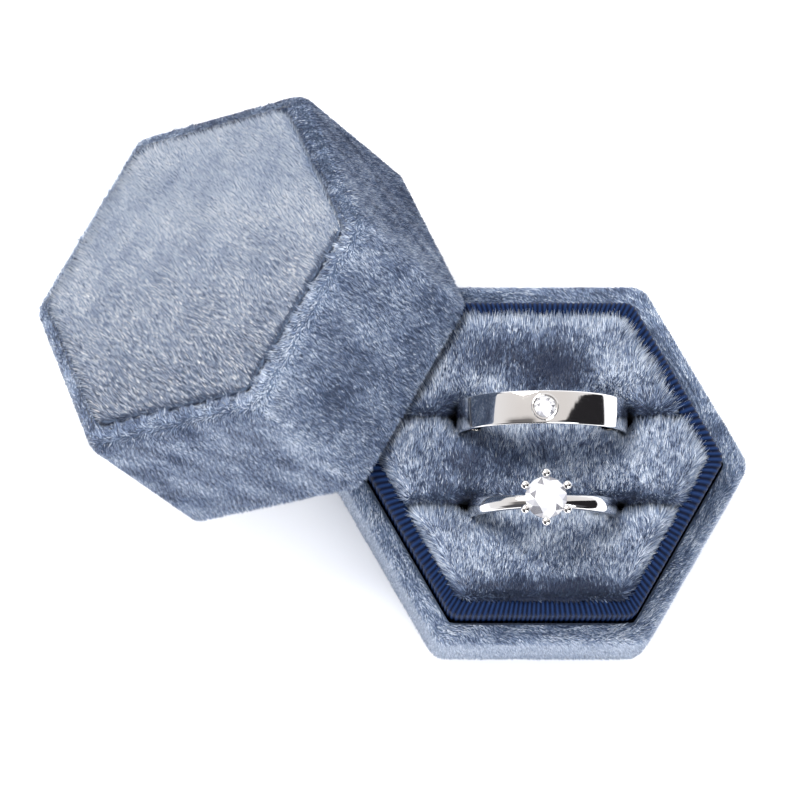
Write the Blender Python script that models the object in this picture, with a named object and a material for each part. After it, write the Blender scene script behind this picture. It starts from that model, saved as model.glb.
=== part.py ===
"""Hexagonal velvet ring box for two rings: a tray with a raised collar and slotted pads, a lift-off
lid that leans on the tray's left rear side, a wide band and a six-prong solitaire.

Metres, +Z up.  The origin is the centre of the tray's underside.  Two of the tray's sides face +Y
and -Y, and two of its corners point along +X and -X."""
from math import cos, pi, radians, sin

import bmesh
import bpy
from mathutils import Matrix, Vector

MM = 0.001

# Driving sizes, in millimetres.  A hexagon's size is its inradius, from the centre to a flat side.
SIDE = 23.8            # outer velvet of tray and lid
CORNER = 3.0           # rounding of the outer vertical corners
CLOTH = 0.6            # velvet with its glued backing
GAP = 0.3              # air between pieces that touch
LEDGE = 22.2           # height of the tray's rim, where the closed lid rests
LEDGE_ROUND = 1.3      # rounding of the tray's top edge
HEM = 19.5             # how far the velvet is turned in under the tray
FLOOR = 2.6            # inside floor of the tray
COLLAR_OUT = 20.4      # outside of the ribbon on the collar
COLLAR_IN = 18.3       # inside of the ribbon
COLLAR_TOP = 28.4      # top of the ribbon
RIBBON = 0.4           # ribbon thickness
PAD = 18.0             # outside of the pads
PAD_TOP = 29.3
SLOT_HALF = 0.6        # half the width of the slot between two pads
LID_HEIGHT = 23.4
LID_ROUND = 2.8        # rounding of the lid's top edge
LID_PANEL = 20.2       # panel of velvet on top of the lid
LID_LINING = 20.75     # inside of the lid's lining

# The lid leans: its rim's far side is on the floor and its near side is up against the collar.
LID_TILT = radians(40.5)
LID_AZIMUTH = radians(150)
LID_OUT = 36.0         # from the tray's axis to the centre of the lid's rim, along the azimuth
LID_SIDEWAYS = 1.6     # and to the left of that line

# Rings, in millimetres.
RING_CENTRE = 27.5     # height of both rings' centres
BAND_Y = 5.2
BAND_OUTER = 11.1
BAND_INNER = 9.5
BAND_WIDTH = 4.3
BEZEL = 1.75
BAND_STONE = 1.35
SOLITAIRE_Y = -6.6
SHANK_OUTER = 9.75
SHANK_INNER = 8.2
SHANK_WIDE = 2.0       # across the shank at its foot
SHANK_NARROW = 1.3     # and beside the head
STONE = 2.65           # girdle radius of the solitaire's stone
STONE_Z = 40.6         # height of its girdle
PRONG_RING = 3.1       # circle of the prong tips
PRONG = 0.34           # prong radius


def clear_scene():
    for old in list(bpy.data.objects):
        bpy.data.objects.remove(old, do_unlink=True)


def material(name, colour, roughness, metallic=0.0):
    made = bpy.data.materials.new(name)
    made.use_nodes = True
    shader = made.node_tree.nodes["Principled BSDF"]
    shader.inputs["Base Color"].default_value = (*colour, 1.0)
    shader.inputs["Roughness"].default_value = roughness
    shader.inputs["Metallic"].default_value = metallic
    return made


def add_object(name, bm, look, smooth=35.0):
    """Turns a bmesh in millimetres into a named object in metres, with its faces pointing out."""
    bmesh.ops.recalc_face_normals(bm, faces=bm.faces)
    if bm.calc_volume(signed=True) < 0:
        bmesh.ops.reverse_faces(bm, faces=bm.faces)
    bmesh.ops.scale(bm, vec=(MM, MM, MM), verts=bm.verts)
    mesh = bpy.data.meshes.new(name)
    bm.to_mesh(mesh)
    bm.free()
    mesh.shade_smooth()
    mesh.set_sharp_from_angle(angle=radians(smooth))
    mesh.materials.append(look)
    thing = bpy.data.objects.new(name, mesh)
    bpy.context.scene.collection.objects.link(thing)
    return thing


def boolean(thing, cutter, operation="DIFFERENCE"):
    step = thing.modifiers.new(operation.lower(), "BOOLEAN")
    step.operation = operation
    step.solver = "EXACT"
    step.object = cutter
    cutter.hide_render = True
    cutter.display_type = "WIRE"


def hexagon(inradius, steps=4):
    """Outline of a hexagon whose corners are rounded concentrically with the tray's corners."""
    rounding = max(CORNER - (SIDE - inradius), 0.5)
    reach = (inradius - rounding) / cos(pi / 6)
    points = []
    for corner in range(6):
        middle = corner * pi / 3
        for step in range(steps + 1):
            turn = middle + (step / steps - 0.5) * pi / 3
            points.append((reach * cos(middle) + rounding * cos(turn),
                           reach * sin(middle) + rounding * sin(turn)))
    return points


def arc(centre_r, centre_z, radius, start, stop, steps=4):
    """Points of an arc in the section plane, from start to stop in degrees."""
    turns = [radians(start + (stop - start) * step / steps) for step in range(steps + 1)]
    return [(centre_r + radius * cos(turn), centre_z + radius * sin(turn)) for turn in turns]


def hex_section(name, section, look, closed=True):
    """Carries a section of (inradius, height) points round the hexagon.

    A closed section makes a ring.  An open one has its first and last points filled across."""
    bm = bmesh.new()
    rings = [[bm.verts.new((x, y, z)) for x, y in hexagon(r)] for r, z in section]
    pairs = list(zip(rings, rings[1:] + rings[:1])) if closed else list(zip(rings, rings[1:]))
    for low, high in pairs:
        for i in range(len(low)):
            j = (i + 1) % len(low)
            bm.faces.new((low[i], low[j], high[j], high[i]))
    if not closed:
        bm.faces.new(rings[0])
        bm.faces.new(rings[-1])
    return add_object(name, bm, look)


# ---------------------------------------------------------------- tray

def make_tray():
    outer = SIDE - CLOTH - GAP
    inner = COLLAR_OUT + 0.5
    low = CLOTH + 0.4
    top = LEDGE - CLOTH - GAP
    hex_section("base_tray", [(outer, low), (outer, top), (inner, top), (inner, FLOOR)],
                BOARD, closed=False)
    inside = SIDE - CLOTH
    bend = SIDE - LEDGE_ROUND
    turn_z = LEDGE - LEDGE_ROUND
    edge = COLLAR_OUT + 0.35
    section = [(HEM, 0.0), (SIDE - 0.5, 0.0), (SIDE, 0.5)]
    section += arc(bend, turn_z, LEDGE_ROUND, 0, 90)
    section += [(edge, LEDGE), (edge, LEDGE - CLOTH)]
    section += arc(bend, turn_z, LEDGE_ROUND - CLOTH, 90, 0)
    section += [(inside, CLOTH), (HEM, CLOTH)]
    hex_section("base_velvet", section, VELVET)
    cover = HEM - GAP
    hex_section("base_bottom_cover", [(cover, 0.0), (cover, CLOTH + 0.1)], CARD, closed=False)


# ---------------------------------------------------------------- collar

def make_collar():
    out, inn, top = COLLAR_OUT, COLLAR_IN, COLLAR_TOP
    step = RIBBON + 0.25
    hex_section("collar_card", [(inn + step, FLOOR + GAP), (out - step, FLOOR + GAP),
                                (out - step, top - step), (inn + step, top - step)], CARD)
    soft = 0.6
    section = [(out - RIBBON, 15.0), (out, 15.0)]
    section += arc(out - soft, top - soft, soft, 0, 90, 3)
    section += arc(inn + soft, top - soft, soft, 90, 180, 3)
    section += [(inn, 19.0), (inn + RIBBON, 19.0), (inn + RIBBON, top - RIBBON),
                (out - RIBBON, top - RIBBON)]
    hex_section("collar_ribbon", section, RIBBON_BLUE)


# ---------------------------------------------------------------- pads

def block(inradius, low_y, high_y, low_z, high_z, soft):
    """A bmesh of the hexagon's part between two Y planes, with its top edge bevelled."""
    bm = bmesh.new()
    bottom = bm.faces.new([bm.verts.new((x, y, low_z)) for x, y in hexagon(inradius)])
    lifted = bmesh.ops.extrude_face_region(bm, geom=[bottom])["geom"]
    verts = [item for item in lifted if isinstance(item, bmesh.types.BMVert)]
    bmesh.ops.translate(bm, verts=verts, vec=(0, 0, high_z - low_z))
    for y, side in ((low_y, -1), (high_y, 1)):
        if abs(y) >= inradius:
            continue
        cut = bmesh.ops.bisect_plane(bm, geom=bm.verts[:] + bm.edges[:] + bm.faces[:],
                                     plane_co=(0, y, 0), plane_no=(0, side, 0), clear_outer=True)
        rim = [item for item in cut["geom_cut"] if isinstance(item, bmesh.types.BMEdge)]
        bmesh.ops.holes_fill(bm, edges=rim, sides=0)
    if soft:
        top = [edge for edge in bm.edges if all(v.co.z > high_z - 0.01 for v in edge.verts)]
        bmesh.ops.bevel(bm, geom=top, offset=soft, segments=2, profile=0.5, affect="EDGES")
    return bm


def pocket(name, half_length, half_width, y, depth):
    """A box that clears a ring standing in a slot."""
    bm = bmesh.new()
    bmesh.ops.create_cube(bm, size=1.0)
    bmesh.ops.scale(bm, vec=(2 * half_length, 2 * half_width, PAD_TOP + 2 - depth), verts=bm.verts)
    bmesh.ops.translate(bm, vec=(0, y, (PAD_TOP + 2 + depth) / 2), verts=bm.verts)
    return add_object(name, bm, FOAM)


def make_pads():
    slots = (BAND_Y, SOLITAIRE_Y + 0.4)
    pockets = [pocket("band_pocket", BAND_OUTER + 0.5, BAND_WIDTH / 2 + 0.35, BAND_Y,
                      RING_CENTRE - BAND_OUTER - 0.5),
               pocket("solitaire_pocket", SHANK_OUTER + 0.5, SHANK_WIDE / 2 + 0.4, SOLITAIRE_Y,
                      RING_CENTRE - SHANK_OUTER - 0.5)]
    spans = (("rear", slots[0] + SLOT_HALF, PAD),
             ("middle", slots[1] + SLOT_HALF, slots[0] - SLOT_HALF),
             ("front", -PAD, slots[1] - SLOT_HALF))
    skin = CLOTH + 0.2
    for name, low_y, high_y in spans:
        in_low = low_y if low_y <= -PAD else low_y + skin
        in_high = high_y if high_y >= PAD else high_y - skin
        foam = add_object("pad_foam_" + name, block(PAD - skin, in_low, in_high, FLOOR + GAP,
                                                    PAD_TOP - skin - 0.9, 0), FOAM)
        cover = add_object("pad_velvet_" + name,
                           block(PAD, low_y, high_y, 17.0, PAD_TOP, 1.2), VELVET)
        out_low = low_y if low_y <= -PAD else low_y + CLOTH
        out_high = high_y if high_y >= PAD else high_y - CLOTH
        hollow = add_object("pad_hollow_" + name, block(PAD - CLOTH, out_low, out_high, 10.0,
                                                        PAD_TOP - CLOTH, 1.0), FOAM)
        boolean(cover, hollow)
        for cutter in pockets:
            boolean(foam, cutter)
            boolean(cover, cutter)


# ---------------------------------------------------------------- lid

def lid_matrix():
    """Places the lid, whose own origin is the centre of its rim with +Z towards its top."""
    along = Vector((cos(LID_AZIMUTH), sin(LID_AZIMUTH), 0))
    left = Vector((-sin(LID_AZIMUTH), cos(LID_AZIMUTH), 0))
    lift = (SIDE - 0.5) * sin(LID_TILT) + 0.05
    place = along * LID_OUT + left * LID_SIDEWAYS + Vector((0, 0, lift))
    return Matrix.Translation(place * MM) @ Matrix.Rotation(LID_TILT, 4, left)


def make_lid():
    bend = SIDE - LID_ROUND
    turn_v = LID_HEIGHT - LID_ROUND
    shell_out = SIDE - CLOTH - GAP
    shell_in = LID_LINING + 0.7
    shell_top = LID_HEIGHT - CLOTH - GAP
    ceiling = shell_top - 1.4
    rim_in = shell_in + 0.05
    section = [(shell_out, 0.9)]
    section += arc(bend, turn_v, shell_out - bend, 0, 90)
    shell = section[::-1] + [(shell_in, 0.9), (shell_in, ceiling)]
    pieces = [hex_section("lid_shell", shell, BOARD, closed=False)]
    section = [(rim_in, 0.0), (SIDE - 0.5, 0.0), (SIDE, 0.5)]
    section += arc(bend, turn_v, LID_ROUND, 0, 90, 5)
    section += [(LID_PANEL + GAP, LID_HEIGHT), (LID_PANEL + GAP, LID_HEIGHT - CLOTH)]
    section += arc(bend, turn_v, LID_ROUND - CLOTH, 90, 0, 5)
    section += [(SIDE - CLOTH, CLOTH), (rim_in, CLOTH)]
    pieces.append(hex_section("lid_side_velvet", section, VELVET))
    pieces.append(hex_section("lid_top_velvet", [(LID_PANEL, LID_HEIGHT - CLOTH),
                                                 (LID_PANEL, LID_HEIGHT)], VELVET, closed=False))
    lining_out = LID_LINING + 0.4
    pad_low = ceiling - GAP - 0.85
    pieces.append(hex_section("lid_lining_wall", [(LID_LINING, GAP), (lining_out, GAP),
                                                  (lining_out, pad_low - GAP),
                                                  (LID_LINING, pad_low - GAP)], SATIN))
    pieces.append(hex_section("lid_lining_top", [(lining_out, pad_low), (lining_out, ceiling - GAP)],
                              SATIN, closed=False))
    place = lid_matrix()
    for piece in pieces:
        piece.matrix_world = place


# ---------------------------------------------------------------- rings

def ring(name, y, section_at, look, segments):
    """Carries a closed section round a ring that stands in the XZ plane.

    section_at gives (radius, y) points for an angle, which is pi / 2 at the top."""
    bm = bmesh.new()
    rows = []
    for i in range(segments):
        turn = 2 * pi * i / segments
        rows.append([bm.verts.new((r * cos(turn), y + across, RING_CENTRE + r * sin(turn)))
                     for r, across in section_at(turn)])
    for i in range(segments):
        row, after = rows[i], rows[(i + 1) % segments]
        for j in range(len(row)):
            k = (j + 1) % len(row)
            bm.faces.new((row[j], row[k], after[k], after[j]))
    return add_object(name, bm, look)


def turned(name, x, y, section, look, segments=20):
    """Turns a section of (radius, height) points about a vertical axis at (x, y).

    A section that starts and ends at radius 0 makes a solid, and any other one makes a tube."""
    bm = bmesh.new()
    rings = []
    for r, z in section:
        count = segments if r > 0 else 1
        rings.append([bm.verts.new((x + r * cos(2 * pi * i / segments),
                                    y + r * sin(2 * pi * i / segments), z)) for i in range(count)])
    solid = section[0][0] == 0
    pairs = list(zip(rings, rings[1:])) if solid else list(zip(rings, rings[1:] + rings[:1]))
    for low, high in pairs:
        for i in range(segments):
            j = (i + 1) % segments
            corners = [low[i % len(low)], low[j % len(low)], high[j % len(high)], high[i % len(high)]]
            bm.faces.new(list(dict.fromkeys(corners)))
    return add_object(name, bm, look)


def brilliant(name, x, y, girdle_z, radius, look):
    """A round stone: a flat table, a crown, a thin girdle and a pointed pavilion."""
    turned(name, x, y, [(0, girdle_z - 0.86 * radius), (radius, girdle_z - 0.03 * radius),
                        (radius, girdle_z + 0.03 * radius), (0.57 * radius, girdle_z + 0.33 * radius),
                        (0, girdle_z + 0.33 * radius)], look, 16)


def make_band_ring():
    half = BAND_WIDTH / 2
    rounding = 0.35

    def section_at(turn):
        return [(BAND_INNER, -half + rounding), (BAND_INNER + rounding, -half),
                (BAND_OUTER - rounding, -half), (BAND_OUTER - 0.08, -half + rounding),
                (BAND_OUTER, 0.0), (BAND_OUTER - 0.08, half - rounding),
                (BAND_OUTER - rounding, half), (BAND_INNER + rounding, half),
                (BAND_INNER, half - rounding)]

    band = ring("band_ring_shank", BAND_Y, section_at, WHITE_METAL, 72)
    top = RING_CENTRE + BAND_OUTER
    hole = BEZEL + 0.2
    boolean(band, turned("bezel_seat", 0, BAND_Y, [(0, top - 3), (hole, top - 3), (hole, top + 1),
                                                   (0, top + 1)], WHITE_METAL, 24))
    wall = BAND_STONE + 0.1
    turned("band_ring_bezel", 0, BAND_Y, [(wall, top - 0.15), (wall, top + 0.12),
                                          (BEZEL - 0.12, top + 0.15), (BEZEL, top),
                                          (BEZEL, top - 1.45), (0.5, top - 1.45)], WHITE_METAL, 24)
    brilliant("band_ring_stone", 0, BAND_Y, top, BAND_STONE, DIAMOND)


def make_solitaire():
    def section_at(turn):
        share = (1 + sin(turn)) / 2
        half = (SHANK_WIDE + (SHANK_NARROW - SHANK_WIDE) * share ** 2) / 2
        middle = (SHANK_OUTER + SHANK_INNER) / 2
        edge = half * 0.6
        return [(SHANK_INNER, -edge), (middle, -half), (SHANK_OUTER - 0.15, -edge),
                (SHANK_OUTER, 0.0), (SHANK_OUTER - 0.15, edge), (middle, half), (SHANK_INNER, edge)]

    ring("solitaire_shank", SOLITAIRE_Y, section_at, WHITE_METAL, 72)

    foot = RING_CENTRE + SHANK_OUTER + 0.2
    head = turned("solitaire_head", 0, SOLITAIRE_Y, [(0, foot), (1.2, foot), (1.45, foot + 0.5),
                                                     (1.1, foot + 0.6), (0, foot + 0.6)],
                  WHITE_METAL, 22)
    rail_z = foot + 1.75
    rail = turned("head_rail", 0, SOLITAIRE_Y, [(1.95, rail_z), (2.2, rail_z - 0.22), (2.5, rail_z),
                                                (2.2, rail_z + 0.22)], WHITE_METAL, 24)
    boolean(head, rail, "UNION")
    for i in range(6):
        turn = pi / 2 + i * pi / 3
        boolean(head, prong("head_prong_" + str(i + 1), turn, foot + 0.1), "UNION")
    brilliant("solitaire_stone", 0, SOLITAIRE_Y, STONE_Z, STONE, DIAMOND)


def prong(name, turn, foot):
    """A claw that rises from the head's foot, splays out and stands past the girdle."""
    route = [(1.05, foot), (PRONG_RING - 0.25, STONE_Z - 0.8), (PRONG_RING, STONE_Z - 0.2),
             (PRONG_RING, STONE_Z + 0.45)]
    bm = bmesh.new()
    rings = []
    for r, z in route:
        ring_verts = []
        for i in range(8):
            around = 2 * pi * (i + 0.3) / 8
            out = r + PRONG * cos(around)
            side = PRONG * sin(around)
            ring_verts.append(bm.verts.new((out * cos(turn) - side * sin(turn),
                                            SOLITAIRE_Y + out * sin(turn) + side * cos(turn), z)))
        rings.append(ring_verts)
    for low, high in zip(rings, rings[1:]):
        for i in range(8):
            j = (i + 1) % 8
            bm.faces.new((low[i], low[j], high[j], high[i]))
    bm.faces.new(rings[0])
    bm.faces.new(rings[-1])
    return add_object(name, bm, WHITE_METAL)


clear_scene()
VELVET = material("blue_grey_velvet", (0.16, 0.22, 0.32), 0.9)
BOARD = material("moulded_board", (0.30, 0.33, 0.38), 0.7)
CARD = material("grey_card", (0.42, 0.44, 0.47), 0.8)
FOAM = material("white_foam", (0.75, 0.75, 0.72), 0.9)
SATIN = material("pale_satin", (0.62, 0.66, 0.72), 0.45)
RIBBON_BLUE = material("navy_ribbon", (0.015, 0.03, 0.13), 0.6)
WHITE_METAL = material("polished_white_metal", (0.80, 0.79, 0.77), 0.1, 1.0)
DIAMOND = material("clear_stone", (0.95, 0.96, 0.98), 0.02)
make_tray()
make_collar()
make_pads()
make_lid()
make_band_ring()
make_solitaire()
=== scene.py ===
"""A hexagonal velvet ring box standing open: the tray with its ribboned collar, three slotted pads and
two rings, and the lid leaning against it.  Sizes inside the sections are in millimetres."""
from math import cos, pi, radians, sin, tan

import bmesh
import bpy
import numpy as np
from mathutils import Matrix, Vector


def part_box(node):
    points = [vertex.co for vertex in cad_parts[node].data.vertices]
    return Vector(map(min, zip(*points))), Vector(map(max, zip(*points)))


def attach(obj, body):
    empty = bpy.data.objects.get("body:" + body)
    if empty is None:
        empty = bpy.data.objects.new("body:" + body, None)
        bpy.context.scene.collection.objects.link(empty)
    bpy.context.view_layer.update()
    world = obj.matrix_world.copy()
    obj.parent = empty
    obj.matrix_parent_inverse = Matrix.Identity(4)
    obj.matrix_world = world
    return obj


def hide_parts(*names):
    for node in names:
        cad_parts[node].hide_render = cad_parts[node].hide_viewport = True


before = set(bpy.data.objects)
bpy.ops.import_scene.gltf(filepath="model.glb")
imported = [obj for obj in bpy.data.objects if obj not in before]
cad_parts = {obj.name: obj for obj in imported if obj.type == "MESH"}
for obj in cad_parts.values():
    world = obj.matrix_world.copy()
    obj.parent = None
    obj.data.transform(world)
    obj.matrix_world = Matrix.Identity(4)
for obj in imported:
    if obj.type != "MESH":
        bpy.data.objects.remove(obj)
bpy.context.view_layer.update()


# ---------------------------------------------------------------- studio
# A white table top, a long-lens camera almost overhead, and soft light: a large window-like key at
# the rear left, a weaker fill at the front, and a grey room with a dark side for the metal to mirror.

MM = 0.001


def studio_camera():
    look_at = Vector((-18.35, 11.68, 0.0)) * MM
    distance = 545.1
    tip = radians(8.31)
    data = bpy.data.cameras.new("studio_camera")
    data.lens = 180.0
    data.sensor_width = 36.0
    data.clip_start = 0.05
    data.clip_end = 50.0
    camera = bpy.data.objects.new("studio_camera", data)
    camera.location = look_at + Vector((0.0, -sin(tip), cos(tip))) * distance * MM
    camera.rotation_euler = (tip, 0.0, 0.0)
    bpy.context.scene.collection.objects.link(camera)
    bpy.context.scene.camera = camera


def soft_light(name, place, size, power, colour):
    """A round area light, turned towards the box."""
    target = Vector((-0.02, 0.01, 0.02))
    data = bpy.data.lights.new(name, "AREA")
    data.shape = "DISK"
    data.size = size
    data.energy = power
    data.color = colour
    lamp = bpy.data.objects.new(name, data)
    lamp.location = place
    lamp.rotation_euler = (target - lamp.location).to_track_quat("-Z", "Y").to_euler()
    bpy.context.scene.collection.objects.link(lamp)


def fill(tree, node, inputs):
    """Gives each named input of a node a value, or a link from another node's output."""
    for socket, value in inputs.items():
        if isinstance(value, bpy.types.NodeSocket):
            tree.links.new(value, node.inputs[socket])
        else:
            node.inputs[socket].default_value = value


def add_node(tree, kind, inputs, **settings):
    """Adds a shader node, sets it, and fills its inputs."""
    node = tree.nodes.new("ShaderNode" + kind)
    for name, value in settings.items():
        setattr(node, name, value)
    fill(tree, node, inputs)
    return node


def ramp(tree, factor, *stops):
    """A colour ramp through two stops, each a position and a colour."""
    node = add_node(tree, "ValToRGB", {0: factor})
    for element, (position, colour) in zip(node.color_ramp.elements, stops):
        element.position = position
        element.color = (*colour, 1.0)
    return node.outputs["Color"]


def new_look(name):
    """A new material, with its node tree and its Principled shader."""
    look = bpy.data.materials.new(name)
    look.use_nodes = True
    return look, look.node_tree, look.node_tree.nodes["Principled BSDF"]


def studio_room():
    """Even white light for the cloth, and for the polish a room to mirror.

    The room is warm grey overhead and paler lower down, with a black flag on the right, a grey
    streak on the left and a dark stretch at the front, where the camera stands."""
    world = bpy.data.worlds.new("studio_room")
    world.use_nodes = True
    bpy.context.scene.world = world
    tree = world.node_tree
    spot = add_node(tree, "TexCoord", {}).outputs["Generated"]
    axes = add_node(tree, "SeparateXYZ", {0: spot}).outputs
    wander = add_node(tree, "TexNoise", {"Vector": spot, "Scale": 7.0}).outputs["Fac"]

    def beyond(axis, start, full, sway=0.0, slant=0.0):
        """How far the direction is along an axis, from 0 at start to 1 at full.

        sway moves the edge by noise, and slant leans it along Y."""
        leaning = add_node(tree, "Math", {0: axes["Y"], 1: slant, 2: axes[axis]},
                           operation="MULTIPLY_ADD").outputs[0]
        moved = add_node(tree, "Math", {0: wander, 1: sway, 2: leaning}, operation="MULTIPLY_ADD")
        return add_node(tree, "MapRange", {
            "Value": moved.outputs[0], "From Min": min(start, full), "From Max": max(start, full),
            "To Min": float(start > full), "To Max": float(start < full)},
            interpolation_type="SMOOTHSTEP").outputs[0]

    def product(one, other):
        return add_node(tree, "Math", {0: one, 1: other}, operation="MULTIPLY").outputs[0]

    def laid_over(under, share, colour):
        return add_node(tree, "Mix", {"Factor": share, "A": under, "B": (*colour, 1.0)},
                        data_type="RGBA").outputs["Result"]

    room = ramp(tree, axes["Z"], (0.0, (1.05, 1.05, 1.08)), (0.85, (0.86, 0.82, 0.80)))
    flag = product(beyond("X", 0.54, 0.60, 0.24, -1.4), beyond("Z", -0.02, 0.02))
    room = laid_over(room, flag, (0.022, 0.021, 0.024))
    streak = product(beyond("Y", 0.07, 0.02), product(beyond("X", -0.10, -0.30), beyond("X", -0.85, -0.65)))
    room = laid_over(room, streak, (0.20, 0.19, 0.19))
    front = product(beyond("Y", -0.30, -0.40), beyond("Z", 0.25, 0.35))
    room = laid_over(room, front, (0.10, 0.10, 0.11))
    mirrored = add_node(tree, "LightPath", {}).outputs["Is Glossy Ray"]
    seen = add_node(tree, "Mix", {"Factor": mirrored, "A": (1.30, 1.31, 1.36, 1.0), "B": room},
                    data_type="RGBA")
    fill(tree, tree.nodes["Background"], {"Color": seen.outputs["Result"]})


def table_top():
    size = 6.0
    mesh = bpy.data.meshes.new("table_top")
    mesh.from_pydata([(-size, -size, 0), (size, -size, 0), (size, size, 0), (-size, size, 0)],
                     [], [(0, 1, 2, 3)])
    top = bpy.data.objects.new("table_top", mesh)
    bpy.context.scene.collection.objects.link(top)
    paint, tree, shader = new_look("white_table")
    fill(tree, shader, {"Base Color": (0.93, 0.935, 0.95, 1.0), "Roughness": 0.9,
                        "Specular IOR Level": 0.1})
    mesh.materials.append(paint)


bpy.context.scene.view_settings.view_transform = "Standard"
studio_camera()
studio_room()
table_top()
soft_light("window_key", (-0.50, 0.68, 1.05), 0.75, 18.0, (1.0, 0.99, 0.97))
soft_light("front_fill", (0.45, -0.80, 0.75), 0.8, 8.0, (0.95, 0.97, 1.0))


# ---------------------------------------------------------------- velvet on the tray
# Short-pile velvet, glued over the moulded tray: up the wall, over the rim and turned in under the
# bottom.  The woven ground is one closed skin, and the pile is thousands of tapered fibres on it.

def put_mesh(name, points, faces, looks, body, shades=None, smooth=True, weld=False):
    """Makes an object in metres from points in millimetres and faces of equal length.

    weld joins points that coincide, which closes poles and seams."""
    points = np.ascontiguousarray(points, dtype=np.float32).reshape(-1, 3) * np.float32(MM)
    faces = np.ascontiguousarray(faces, dtype=np.int32)
    mesh = bpy.data.meshes.new(name)
    mesh.vertices.add(len(points))
    mesh.vertices.foreach_set("co", points.ravel())
    mesh.loops.add(faces.size)
    mesh.loops.foreach_set("vertex_index", faces.ravel())
    mesh.polygons.add(len(faces))
    mesh.polygons.foreach_set("loop_start", np.arange(0, faces.size, faces.shape[1], dtype=np.int32))
    for look in looks:
        mesh.materials.append(look)
    if shades is not None:
        mesh.polygons.foreach_set("material_index", np.ascontiguousarray(shades, dtype=np.int32))
    mesh.polygons.foreach_set("use_smooth", np.full(len(faces), smooth))
    mesh.update(calc_edges=True)
    if weld:
        bm = bmesh.new()
        bm.from_mesh(mesh)
        bmesh.ops.remove_doubles(bm, verts=bm.verts, dist=1e-7)
        bmesh.ops.dissolve_degenerate(bm, edges=bm.edges, dist=1e-8)
        bm.to_mesh(mesh)
        bm.free()
    thing = bpy.data.objects.new(name, mesh)
    bpy.context.scene.collection.objects.link(thing)
    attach(thing, body)
    return thing


def hexagon(inradius, rounding, s):
    """Points of a round-cornered hexagon, for s from 0 to 1 once round it.

    Each sixth is half a side, an arc of a sixth of a turn, and half a side."""
    half = (inradius - rounding) * tan(pi / 6)
    bend = rounding * pi / 3
    sixth = np.floor(s * 6)
    along = (s * 6 - sixth) * (2 * half + bend)
    before = (sixth - 0.5) * pi / 3
    share = np.clip((along - half) / bend, 0, 1)
    facing = before + share * pi / 3
    normal = np.stack([np.cos(facing), np.sin(facing)], -1)
    tangent = np.stack([-np.sin(facing), np.cos(facing)], -1)
    corner = sixth * pi / 3
    reach = (inradius - rounding) / cos(pi / 6)
    middle = np.stack([np.cos(corner), np.sin(corner)], -1) * np.asarray(reach)[..., None]
    slide = np.minimum(along - half, 0) + np.maximum(along - half - bend, 0)
    return middle + normal * np.asarray(rounding)[..., None] + tangent * slide[..., None]


def carried(section, columns, corner):
    """Carries (inradius, height) points round the hexagon, as a grid of rows by columns.

    corner is the rounding at the outermost point, and it shrinks with the inradius."""
    section = np.asarray(section, float)
    s = np.arange(columns) / columns
    size = np.maximum(section[:, 0], 1e-4)[:, None] + 0 * s
    rounding = np.maximum(corner - (section[:, 0].max() - section[:, 0]), 0.6)[:, None] + 0 * s
    plan = hexagon(size, np.minimum(rounding, 0.9 * size), s[None, :] + 0 * size)
    return np.concatenate([plan, (section[:, 1][:, None] + 0 * s)[..., None]], -1)


def grid_faces(rows, columns, closed_rows=False):
    """Quads of a grid whose columns close on themselves, and whose rows may."""
    count = rows if closed_rows else rows - 1
    r = np.arange(count)[:, None]
    c = np.arange(columns)[None, :]
    after_r = (r + 1) % rows
    after_c = (c + 1) % columns
    return np.stack([r * columns + c, r * columns + after_c, after_r * columns + after_c,
                     after_r * columns + c], -1).reshape(-1, 4)


def rounded(points, radii, steps=5):
    """A section through the given points, with each bend replaced by a curve of about its radius."""
    points = np.asarray(points, float)
    out = []
    for i, (here, radius) in enumerate(zip(points, radii)):
        if radius <= 0:
            out.append(here)
            continue
        back = points[i - 1] - here
        on = points[(i + 1) % len(points)] - here
        start = here + back / np.linalg.norm(back) * radius
        stop = here + on / np.linalg.norm(on) * radius
        for t in np.linspace(0, 1, steps):
            out.append((1 - t) ** 2 * start + 2 * t * (1 - t) * here + t * t * stop)
    return np.array(out)


def split_long(section, longest, closed=False):
    """Adds points to a section until no stretch is longer than the given length."""
    out = []
    for here, there in zip(section, np.roll(section, -1, axis=0) if closed else section[1:]):
        parts = max(1, int(np.ceil(np.linalg.norm(there - here) / longest)))
        for k in range(parts):
            out.append(here + (there - here) * k / parts)
    return np.array(out if closed else out + [section[-1]])


def ripple(points, wavelength, seed, waves=9):
    """Smooth noise from about -1 to 1: a sum of plane waves in seeded directions."""
    draw = np.random.default_rng(seed)
    way = draw.normal(size=(waves, 3))
    way /= np.linalg.norm(way, axis=1)[:, None]
    way *= (2 * pi / (wavelength * draw.uniform(0.6, 1.6, waves)))[:, None]
    phase = draw.uniform(0, 2 * pi, waves)
    return np.sin(points @ way.T + phase).sum(-1) / np.sqrt(waves)


def triangles(grid, closed_rows=False):
    """Corners of a grid's triangles, as an array of triangle by corner by coordinate."""
    rows, columns = grid.shape[:2]
    quads = grid_faces(rows, columns, closed_rows)
    flat = grid.reshape(-1, 3)
    return np.concatenate([flat[quads[:, [0, 1, 2]]], flat[quads[:, [0, 2, 3]]]])


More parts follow.
